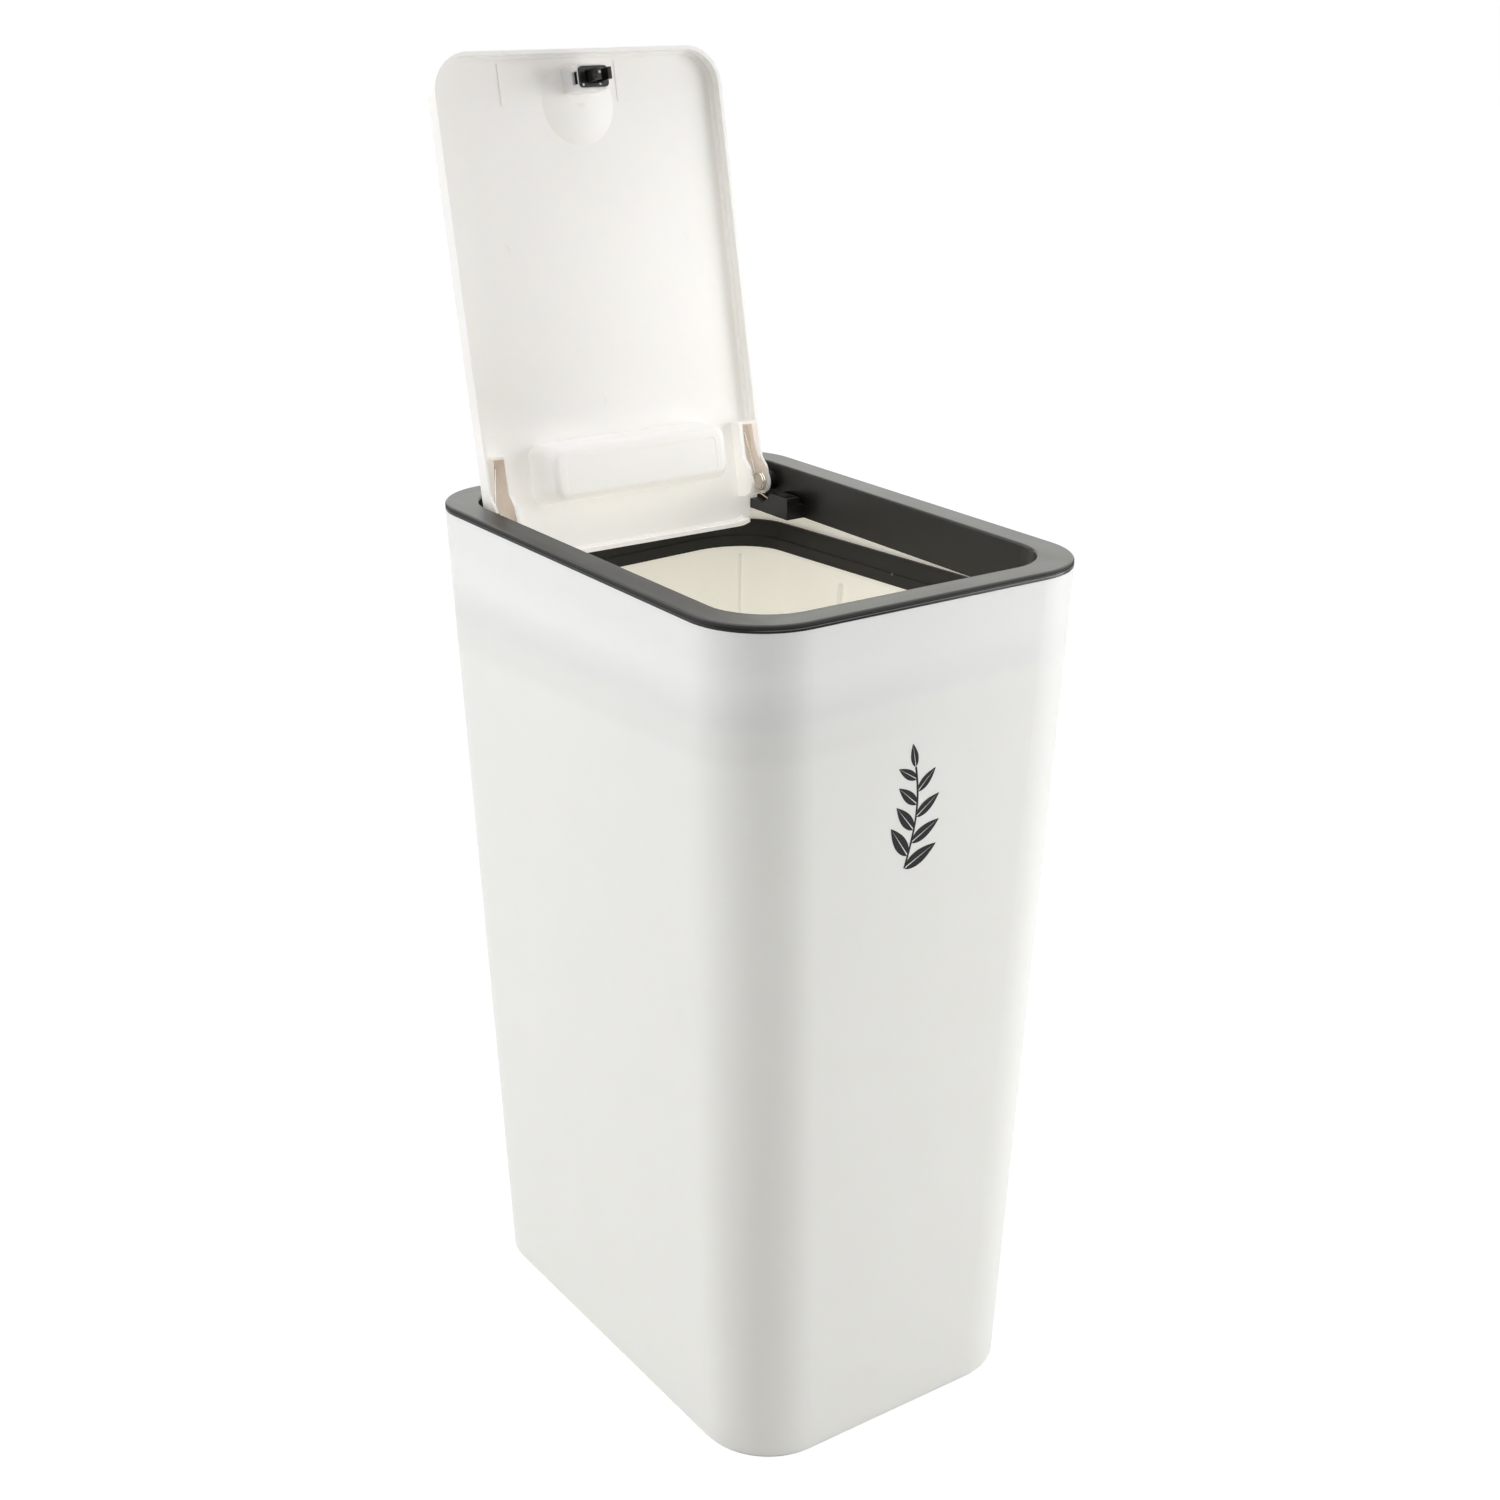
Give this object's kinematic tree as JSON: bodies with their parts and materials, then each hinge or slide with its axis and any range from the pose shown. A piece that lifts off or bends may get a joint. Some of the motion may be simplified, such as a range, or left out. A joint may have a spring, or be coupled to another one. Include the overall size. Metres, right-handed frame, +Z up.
{
  "type": "push top countertop bin",
  "caption": "Slim tapered countertop bin with a lift-off dark frame, an inner bag ring and an inset white push-latch lid standing open on sprung hinges.",
  "frame": {"origin": "centre of the base, on the table", "axes": "+Z up, -Y towards the front of the bin, +X to its right as seen from the front"},
  "size_m": [0.155, 0.2279, 0.4916],
  "materials": {
    "white_tub_plastic": "satin, slightly translucent",
    "white_lid_plastic": "soft gloss",
    "grey_frame_plastic": "satin",
    "black_latch_plastic": "satin",
    "steel": "bright"
  },
  "bodies": {
    "tub": {"outer_body": "white_tub_plastic"},
    "ring": {"bag_ring": "grey_frame_plastic"},
    "frame": {"top_frame": "grey_frame_plastic", "hinge_pin_left": "steel", "hinge_pin_right": "steel", "torsion_spring_left": "steel", "torsion_spring_right": "steel", "latch_striker": "black_latch_plastic"},
    "lid": {"lid": "white_lid_plastic", "latch_housing": "black_latch_plastic", "latch_spring": "steel", "scent_box": "white_lid_plastic"},
    "cover": {"scent_cover": "white_lid_plastic"},
    "slider": {"latch_slider": "black_latch_plastic"},
    "jaw_left": {"latch_jaw_left": "black_latch_plastic"},
    "jaw_right": {"latch_jaw_right": "black_latch_plastic"}
  },
  "joints": [
    {"name": "frame_lift", "type": "slide", "parent": "tub", "child": "frame", "axis": [0, 0, 1], "range_m": [0, 0.1]},
    {"name": "ring_lift", "type": "slide", "parent": "tub", "child": "ring", "axis": [0, 0, 1], "range_m": [0, 0.051]},
    {"name": "lid_hinge", "type": "hinge", "parent": "frame", "child": "lid", "pos_m": [0, 0.07765, 0.3227], "axis": [1, 0, 0], "range_deg": [0, 101.5], "stiffness_Nm_per_rad": 0.03, "springref_deg": -103.13, "deforming": ["torsion_spring_left", "torsion_spring_right"]},
    {"name": "latch_press", "type": "slide", "parent": "lid", "child": "slider", "axis": [0, 0.9799, -0.1994], "range_m": [0, 0.0045], "stiffness_N_per_m": 40, "springref_m": -0.004, "deforming": ["latch_spring"]},
    {"name": "jaw_left_close", "type": "hinge", "parent": "slider", "child": "jaw_left", "pos_m": [-0.0022, 0.10165, 0.48181], "axis": [0, 0.1994, 0.9799], "range_deg": [0, 5]},
    {"name": "jaw_right_close", "type": "hinge", "parent": "slider", "child": "jaw_right", "pos_m": [0.0022, 0.10165, 0.48181], "axis": [0, -0.1994, -0.9799], "range_deg": [0, 5]},
    {"name": "cover_pull", "type": "slide", "parent": "lid", "child": "cover", "axis": [0, -0.9799, 0.1994], "range_m": [0, 0.02]}
  ],
  "couplings": [
    {"joint": "ring_lift", "follows": "frame_lift", "ratio": 0.5},
    {"joint": "jaw_left_close", "follows": "latch_press", "rad_per_m": 19.373},
    {"joint": "jaw_right_close", "follows": "latch_press", "rad_per_m": 19.373}
  ]
}
